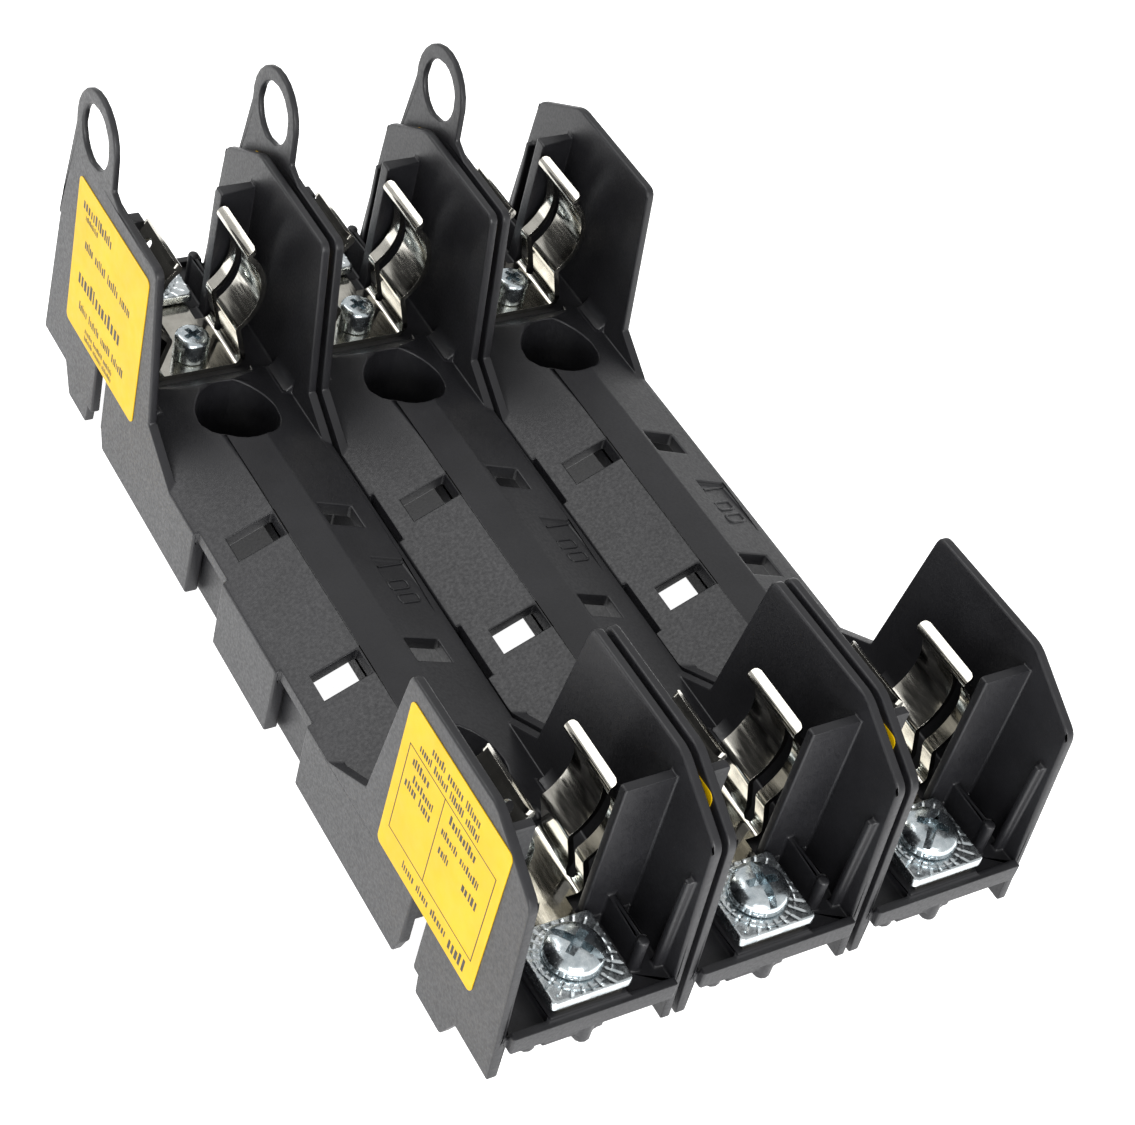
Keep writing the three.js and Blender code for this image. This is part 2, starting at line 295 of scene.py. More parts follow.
def settle(piece: Piece) -> None:
    """Applies a piece's modifiers to its mesh."""
    seen = piece.evaluated_get(bpy.context.evaluated_depsgraph_get())
    mesh = bpy.data.meshes.new_from_object(seen)
    piece.modifiers.clear()
    piece.data = mesh


def pull_in(piece: Piece, solid: BVHTree, reach: float) -> None:
    """Draws the points that a rounding threw off its solid back onto it.

    Args:
        piece: the rounded piece.
        solid: the piece's surface before its edges were rounded.
        reach: points over this many millimetres from the surface move to its nearest point.
    """
    for vertex in piece.data.vertices:
        place, _, _, away = solid.find_nearest(vertex.co)
        if away > reach * MM:
            vertex.co = place


def carve(piece: Piece, shapes: Sequence[Surface], station: Station) -> None:
    """Cuts solids out of a closed piece.

    Args:
        piece: the piece that is cut.
        shapes: closed surfaces.
        station: where they and the piece belong.
    """
    cutters = [make_piece(f"cutter{number}", shape, station) for number, shape in enumerate(shapes)]
    for cutter in cutters:
        turn_outward(cutter)
        cut = piece.modifiers.new("cut", "BOOLEAN")
        cut.operation = "DIFFERENCE"
        cut.solver = "EXACT"
        cut.object = cutter
    settle(piece)
    for cutter in cutters:
        bpy.data.objects.remove(cutter)


def revolved(profile: np.ndarray, x: float, y: float, around: int = 48) -> Surface:
    """A profile turned about an upright axis: (x + r cos a, y + r sin a, z).

    Args:
        profile: N x 2 points (r, z) from the bottom of the axis round to its top.
        x, y: the axis.
        around: points round it.

    Returns:
        The surface, facing away from the axis.
    """
    angle = np.linspace(0.0, 2 * math.pi, around, endpoint=False)
    r, z = profile[:, :1], profile[:, 1:]
    points = np.stack([x + r * np.cos(angle), y + r * np.sin(angle), z + 0 * angle], axis=-1)
    return grid_surface(points[::-1], close_cols=True)


def block_surface(
    half_x: float, half_y: float, z0: float, z1: float, taper: float = 1.0
) -> Surface:
    """An upright bar on the z axis whose bottom is `taper` times its top, used to cut recesses.

    Args:
        half_x, half_y: half its sides at the top.
        z0, z1: its bottom and top.
        taper: the bottom's size as a share of the top's.

    Returns:
        A closed surface of six faces.
    """
    corner = np.array([[1, 1], [-1, 1], [-1, -1], [1, -1]]) * np.array([half_x, half_y])
    low = np.column_stack([corner * taper, np.full(4, z0)])
    high = np.column_stack([corner, np.full(4, z1)])
    sides = [(k, (k + 1) % 4, (k + 1) % 4 + 4, k + 4) for k in range(4)]
    return Surface(np.vstack([low, high]), [(3, 2, 1, 0), (4, 5, 6, 7)] + sides)


def spun(shapes: Sequence[Surface], turn: float, x: float, y: float) -> list:
    """Shapes turned about the z axis and moved to (x, y).

    Args:
        shapes: surfaces about the z axis.
        turn: the angle in radians.
        x, y: where the axis goes.

    Returns:
        The surfaces: (x + px cos a - py sin a, y + px sin a + py cos a, z).
    """
    c, s = math.cos(turn), math.sin(turn)
    spin = np.array([[c, s, 0], [-s, c, 0], [0, 0, 1]])
    return [Surface(shape.points @ spin + [x, y, 0], shape.faces) for shape in shapes]


# ------------ finishes
def linear(hex_colour: str) -> tuple:
    """An sRGB hex colour as linear RGBA.

    Each channel c becomes c / 12.92 under 0.04045, and ((c + 0.055) / 1.055) ** 2.4 above it.

    Args:
        hex_colour: such as "1b1b1d".

    Returns:
        Four numbers, the last one 1.
    """
    srgb = np.array([int(hex_colour[k:k + 2], 16) / 255 for k in (0, 2, 4)])
    rgb = np.where(srgb <= 0.04045, srgb / 12.92, ((srgb + 0.055) / 1.055) ** 2.4)
    return (*rgb.tolist(), 1.0)


def add_node(
    tree: bpy.types.NodeTree, kind: str, links: dict | None = None, **settings
) -> bpy.types.Node:
    """Adds a shader node.

    Args:
        tree: the material's node tree.
        kind: the node's type.
        links: by input name or number, the socket that feeds it or the value it holds.
        settings: the node's own properties.

    Returns:
        The node.
    """
    made = tree.nodes.new(kind)
    for key, value in settings.items():
        setattr(made, key, value)
    for key, value in (links or {}).items():
        if isinstance(value, bpy.types.NodeSocket):
            tree.links.new(value, made.inputs[key])
        else:
            made.inputs[key].default_value = value
    return made


@dataclass(frozen=True)
class Finish:
    """A surface: two colours that drift into each other, and roughness and relief at real sizes.

    The drift is noise of `patch` millimetres, the roughness noise of `fleck` millimetres, and the
    relief noise of `grain` millimetres that is `relief` millimetres high. `stretch` draws the
    fleck and the grain out along X, Y and Z, as rolling and machining do.
    """

    name: str
    dark: str
    light: str
    metallic: float
    rough: tuple
    patch: float
    fleck: float
    grain: float
    relief: float
    stretch: tuple = (1.0, 1.0, 1.0)
    specular: float = 0.5

    def texture(
        self, tree: bpy.types.NodeTree, size: float, detail: float, even: bool = False
    ) -> bpy.types.Node:
        """Noise on the piece's own coordinates.

        Args:
            tree: the material's node tree.
            size: how many millimetres its features are across.
            detail: octaves.
            even: whether it leaves out the finish's stretch.

        Returns:
            The noise node.
        """
        where = add_node(tree, "ShaderNodeTexCoord")
        scale = (1.0, 1.0, 1.0) if even else tuple(1.0 / s for s in self.stretch)
        links = {"Vector": where.outputs["Object"], "Scale": scale}
        drawn = add_node(tree, "ShaderNodeMapping", links)
        links = {"Vector": drawn.outputs["Vector"], "Scale": 1.0 / (size * MM), "Detail": detail}
        return add_node(tree, "ShaderNodeTexNoise", links)

    def relief_socket(self, tree: bpy.types.NodeTree) -> bpy.types.NodeSocket:
        """The bent normal that the grain gives."""
        grain = self.texture(tree, self.grain, 3.0)
        links = {"Height": grain.outputs["Fac"], "Distance": self.relief * MM, "Strength": 1.0}
        return add_node(tree, "ShaderNodeBump", links).outputs["Normal"]

    def colour_socket(self, tree: bpy.types.NodeTree) -> bpy.types.NodeSocket:
        """The two colours, mixed by the patchy noise."""
        patches = self.texture(tree, self.patch, 4.0, even=True)
        ramp = add_node(tree, "ShaderNodeValToRGB", {"Fac": patches.outputs["Fac"]})
        stops = zip(ramp.color_ramp.elements, DRIFT_STOPS, (self.dark, self.light))
        for stop, position, colour in stops:
            stop.position = position
            stop.color = linear(colour)
        return ramp.outputs["Color"]

    def rough_socket(self, tree: bpy.types.NodeTree) -> bpy.types.NodeSocket:
        """The roughness, between its two limits by the flecks."""
        flecks = self.texture(tree, self.fleck, 5.0)
        low, high = FLECK_SPAN
        links = {"Value": flecks.outputs["Fac"], "From Min": low, "From Max": high}
        links |= {"To Min": self.rough[0], "To Max": self.rough[1]}
        return add_node(tree, "ShaderNodeMapRange", links).outputs["Result"]

    def material(self) -> bpy.types.Material:
        """The finish as a material, made once.

        Returns:
            The material of that name.
        """
        known = bpy.data.materials.get(self.name)
        if known:
            return known
        made = bpy.data.materials.new(self.name)
        made.use_nodes = True
        tree = made.node_tree
        tree.nodes.clear()
        links = {
            "Base Color": self.colour_socket(tree),
            "Roughness": self.rough_socket(tree),
            "Normal": self.relief_socket(tree),
            "Metallic": self.metallic,
            "Specular IOR Level": self.specular,
        }
        shader = add_node(tree, "ShaderNodeBsdfPrincipled", links)
        add_node(tree, "ShaderNodeOutputMaterial", {"Surface": shader.outputs["BSDF"]})
        return made


# Glass-filled nylon moulded in a spark-eroded tool: deep charcoal with a leathery satin grain.
# The grain is really about 0.15 mm; it is drawn at 0.22 mm, the finest that shows.
NYLON = Finish(
    "black_nylon_spark_eroded", "17171a", "1f1f22", 0.0, (0.36, 0.54),
    patch=9.0, fleck=0.5, grain=0.22, relief=0.018,
)
# Rolled spring strip, bright nickel plated: a sharp mirror with faint draw lines along the strip.
NICKEL = Finish(
    "spring_strip_bright_nickel", "b9b6ad", "d2cfc6", 1.0, (0.06, 0.20),
    patch=3.0, fleck=0.5, grain=0.45, relief=0.006, stretch=(1.0, 9.0, 1.0),
)
# Cold-headed steel, zinc plated and blue passivated: bluish grey, softly frosted.
ZINC_SCREW = Finish(
    "screw_steel_blue_zinc", "bcc6cb", "dfe7ea", 1.0, (0.14, 0.30),
    patch=1.2, fleck=0.5, grain=0.6, relief=0.008,
)
# Coined steel plate, zinc plated: as the screws, with broader flow marks from the press.
ZINC_PLATE = Finish(
    "coined_plate_blue_zinc", "bcc4c7", "e0e5e7", 1.0, (0.18, 0.34),
    patch=2.2, fleck=0.6, grain=0.8, relief=0.010,
)
# Square nut, barrel plated: duller and rougher zinc, with knocks.
ZINC_NUT = Finish(
    "nut_steel_barrel_zinc", "8e979b", "bfc7ca", 1.0, (0.30, 0.52),
    patch=1.5, fleck=0.7, grain=0.8, relief=0.03,
)
# Printed polyester film: warm yellow with a thin gloss and the faintest orange peel.
FILM = Finish(
    "label_film_yellow", "d3aa00", "dbb204", 0.0, (0.42, 0.55),
    patch=9.0, fleck=2.0, grain=1.6, relief=0.006, specular=0.22,
)
# Screen-printed ink: near black, a little duller than the film under it.
INK = Finish(
    "label_ink_black", "1d1a10", "2c2818", 0.0, (0.45, 0.65),
    patch=2.0, fleck=0.6, grain=0.5, relief=0.004,
)
# Seamless white paper under the block.
PAPER = Finish(
    "studio_paper_white", "f6f6f6", "fdfdfd", 0.0, (0.70, 0.85),
    patch=60.0, fleck=8.0, grain=3.0, relief=0.01,
)


def dress(piece: Piece, finish: Finish) -> None:
    """Gives a piece one finish all over."""
    piece.data.materials.clear()
    piece.data.materials.append(finish.material())


def hand_in(piece: Piece, body: str, slot: str, *nodes: str) -> None:
    """Ties a finished piece to its body, hides the CAD nodes it stands for, and reports it.

    Args:
        piece: the piece.
        body: the body it rides on.
        slot: not used.
        nodes: the CAD nodes it replaces, if any.
    """
    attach(piece, body)
    if nodes:
        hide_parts(*nodes)
    log.info("%s: %d faces, on %s", piece.name, len(piece.data.polygons), body)


# ------------ moulded pole
@dataclass
class Moulding:
    """The moulded body of one pole: the frame's own shape with its edges rounded.

    Edges are rounded `edge` millimetres wide. Points thrown over `stray` times that off the solid
    are drawn back, and points closer than `weld` millimetres are one.
    """

    pole: int
    edge: float = 0.36
    crease: tuple = (14.0, 34.0)
    stray: float = 0.6
    weld: float = 0.002

    def build(self) -> Piece:
        """Copies the pole's solid, rounds its edges and keeps its flats flat.

        Edges that turn between the two limits of `crease`, in degrees, stay sharp; flatter ones
        are smooth and steeper ones are rounded.

        Returns:
            The piece.
        """
        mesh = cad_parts[f"pole{self.pole}_base"].data.copy()
        mesh.shade_smooth()
        with edited(mesh) as edit:
            bmesh.ops.remove_doubles(edit, verts=edit.verts, dist=self.weld * MM)
            bmesh.ops.dissolve_degenerate(edit, edges=edit.edges, dist=self.weld * MM)
            for edge in edit.edges:
                turn = math.degrees(edge.calc_face_angle(0.0))
                edge.smooth = not self.crease[0] < turn < self.crease[1]
            solid = BVHTree.FromBMesh(edit)
        piece = link(f"pole{self.pole}_moulding", mesh)
        soften_edges(piece, self.edge, angle=self.crease[1])
        bevel = piece.modifiers["edges"]
        bevel.use_clamp_overlap = False
        bevel.harden_normals = False
        settle(piece)
        pull_in(piece, solid, self.edge * self.stray)
        level = piece.modifiers.new("flats", "WEIGHTED_NORMAL")
        level.mode = "FACE_AREA"
        level.weight = 100
        level.keep_sharp = True
        return piece

    def dress(self, piece: Piece) -> None:
        """Finishes the moulding, puts it on the block and hides the pole's CAD solid."""
        dress(piece, NYLON)
        hand_in(piece, Body.BLOCK.value, "moulding", f"pole{self.pole}_base")


@dataclass
class SlopeMarks:
    """Small raised outlines moulded in the recess on the right slope: a rule and two lozenges.

    `ridge` and `eave` are points (x, z) of the slope, `floor` the recess's two ends along Y and its
    depth, `rule` a line in plan, and `lozenges` each (x, y, half its length).
    """

    pole: int
    wire: float = 0.42
    around: int = 10
    ridge: tuple = (17.6, 18.4)
    eave: tuple = (29.1, 14.0)
    floor: tuple = (-8.8, 3.4, 0.5)
    rule: tuple = ((22.3, 1.6), (27.9, 3.0))
    lozenges: tuple = ((24.0, -2.3, 1.9), (24.3, -5.3, 2.0))
    half_y: float = 0.95
    lean: float = 0.22

    def height(self, x: np.ndarray, y: np.ndarray) -> np.ndarray:
        """The recess floor's height: the slope's, less a depth that grows from y0 to y1."""
        fall = (self.ridge[1] - self.eave[1]) / (self.eave[0] - self.ridge[0])
        y0, y1, deep = self.floor
        slope = self.ridge[1] - fall * (x - self.ridge[0])
        return slope - deep * np.clip((y - y0) / (y1 - y0), 0, 1)

    def bead(self, plan: np.ndarray, closed: bool) -> Surface:
        """A round bead laid along a plan line on the recess floor.

        The bead is a circle of `wire` across, swept along the line at the floor's height.

        Args:
            plan: N x 2 points (x, y).
            closed: whether the line runs back to its start.

        Returns:
            A closed tube.
        """
        spine = np.column_stack([plan, self.height(plan[:, 0], plan[:, 1])])
        if closed:
            ahead = np.roll(spine, -1, axis=0) - np.roll(spine, 1, axis=0)
        else:
            ahead = np.gradient(spine, axis=0)
        ahead /= np.linalg.norm(ahead, axis=1, keepdims=True)
        across = np.cross(ahead, [0.0, 0.0, 1.0])
        across /= np.linalg.norm(across, axis=1, keepdims=True)
        up = np.cross(across, ahead)
        angle = np.linspace(0.0, 2 * math.pi, self.around, endpoint=False)[None, :, None]
        ring = np.cos(angle) * across[:, None] + np.sin(angle) * up[:, None]
        points = spine[:, None] + ring * self.wire / 2
        if closed:
            return grid_surface(points, close_rows=True, close_cols=True)
        ends = [np.repeat(spine[k][None, None], self.around, axis=1) for k in (0, -1)]
        return grid_surface(np.concatenate([ends[0], points, ends[1]]), close_cols=True)

    def lozenge(self, x: float, y: float, half_x: float) -> np.ndarray:
        """A round-cornered oblong outline whose y is sheared by `lean` times its x."""
        loop = rounded_rectangle(half_x, self.half_y, self.half_y * 0.7, 4, 6)
        return loop + np.column_stack([0 * loop[:, 0], self.lean * loop[:, 0]]) + [x, y]

    def build(self) -> Piece:
        """Lays the three beads.

        Returns:
            The piece.
        """
        surface = self.bead(smooth_path(self.rule, 0.1, 0.3), False)
        for lozenge in self.lozenges:
            surface = surface.plus(self.bead(self.lozenge(*lozenge), True))
        station = Station(self.pole, End.LINE)
        piece = make_piece(f"pole{self.pole}_slope_marks", surface, station)
        turn_outward(piece)
        shade_smooth(piece, 60.0)
        return piece

    def dress(self, piece: Piece) -> None:
        """Finishes the marks and puts them on the block."""
        dress(piece, NYLON)
        hand_in(piece, Body.BLOCK.value, "moulding")


# ------------ parts of an end
@dataclass
class EndPart:
    """A part that each end of a pole has once; each kind names its finish, slot, node and body."""

    station: Station
    BODY = Body.BLOCK

    def dress(self, piece: Piece) -> None:
        """Finishes the piece, puts it on its body and hides its CAD node."""
        dress(piece, self.FINISH)
        hand_in(piece, self.station.body(self.BODY), self.SLOT, self.station.node(self.NODE))


@dataclass
class Clip(EndPart):
    """Spring clip and terminal strap, bent and cut from one strip."""

    FINISH, SLOT, NODE = NICKEL, "clip_strip", "clip"
    middle_x: float = 14.5
    y0: float = 51.15
    y1: float = 63.15
    strip: float = 0.9
    base_z: float = 15.45
    axis_z: float = 30.4
    barrel: float = 9.3
    grip: tuple = (-51.0, 50.0)
    foot: tuple = ((7.7, 16.6), (6.35, 21.6))
    lip: tuple = ((6.05, 38.05), (7.15, 38.7))
    bend: float = 0.75
    step: float = 0.27
    corner: float = 0.9
    slot_y: float = 59.9
    slot_half: float = 1.05
    slot_ends: tuple = (2.3, 25.6)
    strap_x: tuple = (-5.9, 4.5)
    strap_end: float = 79.0
    terminal: tuple = (13.8, 73.2)
    hole: float = 2.8
    clip_screw_y: float = 55.0
    clip_screw_hole: float = 2.2
    columns: tuple = (14, 6)

    def leg_line(self) -> np.ndarray:
        """The right leg's middle line from the strap's edge of the base to its lip, as (x, z).

        It climbs from the base to the foot's points, runs round the ferrule on an arc of `barrel`
        about the fuse axis, and ends in the lip's points.

        Returns:
            N x 2 points, x from the clip's middle.
        """
        angle = np.radians(np.linspace(*self.grip, 24))
        across, up = self.barrel * np.cos(angle), self.axis_z + self.barrel * np.sin(angle)
        start = [[self.strap_x[1], self.base_z], [6.7, self.base_z]]
        corners = np.vstack([start, self.foot, np.column_stack([across, up]), self.lip])
        return smooth_path(corners, self.bend, self.step)

    def leg(self) -> Surface:
        """A leg as two fingers that share a centre line where the slot isn't.

        The slot's half width at a distance s along the leg is h sqrt(1 - u^2), where u runs from 0
        to 1 over the last h millimetres at either end. The lip's corners are rounded likewise.

        Returns:
            The two fingers, not merged.
        """
        line = self.leg_line()
        s = np.concatenate([[0.0], np.cumsum(np.linalg.norm(np.diff(line, axis=0), axis=1))])
        low, high = self.slot_ends
        u = np.clip(1 - np.minimum(s - low, high - s) / self.slot_half, 0.0, 1.0)
        half = self.slot_half * np.sqrt(np.clip(1 - u**2, 0.0, 1.0))
        v = np.clip(1 - (s[-1] - s) / self.corner, 0.0, 1.0)
        trim = self.corner * (1 - np.sqrt(np.clip(1 - v**2, 0.0, 1.0)))
        fingers = []
        edges = ((self.y0 + trim, self.slot_y - half), (self.slot_y + half, self.y1 - trim))
        for (start, end), columns in zip(edges, self.columns):
            t = np.linspace(0.0, 1.0, columns)
            y = start[:, None] * (1 - t) + end[:, None] * t
            x = self.middle_x + line[:, :1] + 0 * y
            z = line[:, 1:] + 0 * y
            fingers.append(grid_surface(np.stack([x, y, z], axis=-1)))
        return fingers[0].plus(fingers[1])

    def flat(self, y0: float, y1: float, columns: np.ndarray) -> Surface:
        """A flat stretch of strip as wide as the strap.

        Args:
            y0, y1: its ends.
            columns: where its points lie, as shares of the way from y0 to y1.

        Returns:
            The surface, at the base's middle height.
        """
        x = np.linspace(*self.strap_x, 12)[:, None]
        y = y0 + (y1 - y0) * columns[None, :]
        spread = [self.middle_x + x + 0 * y, y + 0 * x, self.base_z + 0 * x * y]
        return grid_surface(np.stack(spread, axis=-1))

    def mirrored_leg(self) -> Surface:
        """The left leg: the right one turned over about the clip's middle.

        Its first points are drawn to the strap's left edge, which is farther out.

        Returns:
            The surface.
        """
        right = self.leg()
        points = right.points.copy()
        points[:, 0] = 2 * self.middle_x - points[:, 0]
        near = np.abs(points[:, 2] - self.base_z) < 0.02
        inner = points[:, 0] > self.middle_x - 6.6
        edge = self.middle_x + self.strap_x[0]
        points[near & inner, 0] = np.minimum(points[near & inner, 0], edge)
        return Surface(points, [face[::-1] for face in right.faces])

    def build(self) -> Piece:
        """Makes the strip's middle surface, thickens it, pierces it and rounds its edges.

        Returns:
            The piece.
        """
        share = (self.slot_y - self.y0) / (self.y1 - self.y0)
        before, behind = self.columns
        columns = np.concatenate([
            np.linspace(0.0, share, before), np.linspace(share, 1.0, behind)[1:],
        ])
        surface = self.leg().plus(self.mirrored_leg())
        surface = surface.plus(self.flat(self.y0, self.y1, columns))
        surface = surface.plus(self.flat(self.y1, self.strap_end, np.linspace(0, 1, 14)))
        piece = make_piece(self.station.node("clip_strip"), surface, self.station, 0.02)
        turn_outward(piece)
        wall = piece.modifiers.new("strip", "SOLIDIFY")
        wall.thickness = self.strip * MM
        wall.offset = 0.0
        wall.use_even_offset = True
        settle(piece)
        holes = [
            (*self.terminal, self.hole),
            (self.middle_x, self.clip_screw_y, self.clip_screw_hole),
        ]
        drills = []
        for x, y, r in holes:
            profile = np.array([[0.0, 12.0], [r, 12.0], [r, 18.0], [0.0, 18.0]])
            drills.append(revolved(profile, x, y, 40))
        carve(piece, drills, self.station)
        shade_smooth(piece, 40.0)
        soften_edges(piece, 0.16, 2, 40.0)
        return piece


# ------------ screws, plate and nut
def thread(r: float, root: float, z0: float, z1: float, pitch: float, around: int) -> np.ndarray:
    """Rows of a screw thread: radius r, less `root` times a triangle wave of z / pitch - angle.

    Args:
        r: the crest's radius.
        root: the thread's depth.
        z0, z1: where it starts and ends.
        pitch: rise in one turn.
        around: points round it.

    Returns:
        rows x around x 3 points about the origin.
    """
    rows = int((z1 - z0) / pitch * 6) + 1
    z = np.linspace(z0, z1, rows)[:, None]
    angle = np.linspace(0.0, 2 * math.pi, around, endpoint=False)[None, :]
    wave = np.abs(2 * ((z / pitch - angle / (2 * math.pi)) % 1.0) - 1)
    fade = np.clip(np.minimum(z - z0, z1 - z) / pitch, 0.0, 1.0)
    radius = r - root * wave * fade
    return np.stack([radius * np.cos(angle), radius * np.sin(angle), z + 0 * angle], axis=-1)


@dataclass
class TerminalScrew(EndPart):
    """Pan-head screw with a slot through its cross recess."""

    FINISH, SLOT, NODE, BODY = ZINC_SCREW, "zinc_screw", "terminal_screw", Body.SCREW
    x: float = 13.8
    y: float = 73.2
    seat: float = 18.15
    shank: float = 2.4
    tip: float = 6.0
    pitch: float = 0.794
    root: float = 0.42
    rise: float = 3.0
    around: int = 64
    turn: float = 0.0

    def head(self) -> np.ndarray:
        """The head's profile from under its rim to the middle of its top, as (r, z)."""
        outline = np.array([
            [self.shank, 0.0], [4.1, 0.0], [4.3, 0.12], [4.35, 0.35], [4.35, 1.0], [4.3, 1.35],
            [4.16, 1.7], [3.92, 2.04], [3.58, 2.34], [3.15, 2.58], [2.6, 2.76], [2.0, 2.88],
            [1.0, 2.97], [0.0, self.rise],
        ])
        return outline + [0.0, self.seat]

    def body(self) -> Surface:
        """Tip, threaded shank and head as one closed surface."""
        angle = np.linspace(0.0, 2 * math.pi, self.around, endpoint=False)[None, :]
        r, z = self.shank, self.tip
        low = np.array([[0.0, z], [r - 0.8, z], [r - 0.55, z + 0.3]])
        parts = [thread(r, self.root, z + 0.5, self.seat - 0.4, self.pitch, self.around)]
        for profile, before in ((low, True), (self.head(), False)):
            r, z = profile[:, :1], profile[:, 1:]
            rows = np.stack([r * np.cos(angle), r * np.sin(angle), z + 0 * angle], axis=-1)
            parts = [rows, *parts] if before else [*parts, rows]
        points = np.concatenate(parts)[::-1] + [self.x, self.y, 0.0]
        return grid_surface(points, close_cols=True)

    def build(self) -> Piece:
        """Turns the screw and cuts its recess.

        Returns:
            The piece.
        """
        piece = make_piece(self.station.node("pan_screw"), self.body(), self.station)
        turn_outward(piece)
        top = self.seat + self.rise
        recess = [
            block_surface(5.0, 0.6, top - 1.2, top + 1, 0.94),
            block_surface(2.7, 0.72, top - 2.1, top + 1, 0.7),
            block_surface(0.72, 2.7, top - 2.1, top + 1, 0.7),
        ]
        carve(piece, spun(recess, self.turn, self.x, self.y), self.station)
        shade_smooth(piece, 38.0)
        soften_edges(piece, 0.14, 2, 38.0)
        return piece


@dataclass
class ClipScrew(EndPart):
    """Cheese-head screw that holds a clip down, with a cross recess."""

    FINISH, SLOT, NODE = ZINC_SCREW, "zinc_screw", "clip_screw"
    x: float = 14.5
    y: float = 55.0
    seat: float = 16.0
    top: float = 20.4
    r: float = 2.9
    turn: float = 0.35
    cross: tuple = ((1.75, 0.5), (0.5, 1.75))

    def build(self) -> Piece:
        """Turns the screw and cuts its recess.

        Returns:
            The piece.
        """
        profile = np.array([
            [0.0, 6.0], [1.2, 6.4], [1.4, 7.0], [1.4, self.seat], [self.r - 0.15, self.seat],
            [self.r, self.seat + 0.15], [self.r, self.top - 1.0], [self.r - 0.08, self.top - 0.55],
            [self.r - 0.35, self.top - 0.22], [self.r - 0.8, self.top - 0.08], [1.2, self.top],
            [0.0, self.top],
        ])
        turned = revolved(profile, self.x, self.y)
        piece = make_piece(self.station.node("cheese_screw"), turned, self.station)
        turn_outward(piece)
        recess = [
            block_surface(*arm, self.top - 1.6, self.top + 1, 0.7) for arm in self.cross
        ]
        carve(piece, spun(recess, self.turn, self.x, self.y), self.station)
        shade_smooth(piece, 38.0)
        soften_edges(piece, 0.08, 2, 38.0)
        return piece


@dataclass
class WirePlate(EndPart):
    """Square plate under the terminal screw, coined with rays and a ring that bite the wire."""

    FINISH, SLOT, NODE, BODY = ZINC_PLATE, "zinc_plate", "wire_plate", Body.PLATE
    x: float = 13.8
    y: float = 73.2
    half: tuple = (6.3, 6.1)
    z0: float = 16.2
    z1: float = 17.9
    hole: float = 2.8
    rays: int = 24
    ray_from: float = 4.5
    ray_to: float = 7.3
    ray_half: float = 0.26
    ray_deep: float = 0.2
    ring_at: float = 5.35
    ring_half: float = 0.3
    ring_deep: float = 0.12
    corner: float = 0.7
    fillet: float = 0.32

    def top(self, x: np.ndarray, y: np.ndarray) -> np.ndarray:
        """How far the top lies below z1.

        A ray is a V across the angle, `ray_deep` times (1 - distance to its middle / `ray_half`)
        deep, from `ray_from` to `ray_to`. The ring is a V round the axis at `ring_at`.

        Args:
            x, y: places from the screw's axis.

        Returns:
            Depths in millimetres.
        """
        r = np.hypot(x, y)
        turn = np.arctan2(y, x) * self.rays / (2 * math.pi)
        aside = np.abs(turn - np.round(turn)) * 2 * math.pi / self.rays * r
        inside = np.clip((r - self.ray_from) / 0.3, 0, 1) * np.clip((self.ray_to - r) / 0.5, 0, 1)
        ray = self.ray_deep * np.clip(1 - aside / self.ray_half, 0, 1) * inside
        ring = self.ring_deep * np.clip(1 - np.abs(r - self.ring_at) / self.ring_half, 0, 1)
        return np.maximum(ray, ring)

    def build(self) -> Piece:
        """Lofts the plate from its hole out over its top, round its edge and back below.

        Returns:
            The piece.
        """
        edge = rounded_rectangle(*self.half, self.corner, 44, 8)
        hole = self.hole * edge / np.linalg.norm(edge, axis=1, keepdims=True)
        share = np.linspace(0.0, 1.0, 34)[:, None, None]
        inner = edge * (1 - self.fillet / np.array(self.half))
        flat = hole[None] * (1 - share) + inner[None] * share
        depth = self.top(flat[..., 0], flat[..., 1])
        rows = [np.concatenate([flat, (self.z1 - depth)[..., None]], axis=-1)]
        for a in np.radians([30.0, 60.0, 90.0]):
            ring = inner + (edge - inner) * math.sin(a)
            z = self.z1 - self.fillet * (1 - math.cos(a))
            rows.append(np.column_stack([ring, np.full(len(ring), z)])[None])
        below = (
            (edge, self.z0 + 0.2), (inner * 1.02, self.z0), (hole, self.z0), (hole, self.z1 - 0.01),
        )
        for ring, z in below:
            rows.append(np.column_stack([ring, np.full(len(ring), z)])[None])
        points = np.concatenate(rows) + [self.x, self.y, 0.0]
        loft = grid_surface(points, close_cols=True, close_rows=True)
        piece = make_piece(self.station.node("coined_plate"), loft, self.station)
        turn_outward(piece)
        shade_smooth(piece, 42.0)
        return piece


@dataclass
class Nut(EndPart):
    """Square nut in its pocket: the frame's own shape with its edges rounded."""

    FINISH, SLOT, NODE = ZINC_NUT, "zinc_nut", "terminal_nut"
    weld: float = 0.002
    flat_degrees: float = 0.6

    def build(self) -> Piece:
        """Copies the nut's solid, joins its coplanar faces and rounds its edges.

        Returns:
            The piece.
        """
        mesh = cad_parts[self.station.node("terminal_nut")].data.copy()
        flat = math.radians(self.flat_degrees)
        with edited(mesh) as edit:
            bmesh.ops.remove_doubles(edit, verts=edit.verts, dist=self.weld * MM)
            bmesh.ops.dissolve_limit(edit, angle_limit=flat, verts=edit.verts, edges=edit.edges)
        piece = link(self.station.node("square_nut"), mesh)
        mesh.shade_smooth()
        soften_edges(piece, 0.3, 3, 34.0)
        return piece


# ------------ label
@dataclass(frozen=True)
class Line:
    """A line of print as plain blocks: from a0 to a1 along the label, b0 to b1 down it."""

    a0: float
    a1: float
    b0: float
    b1: float
    words: int = 1


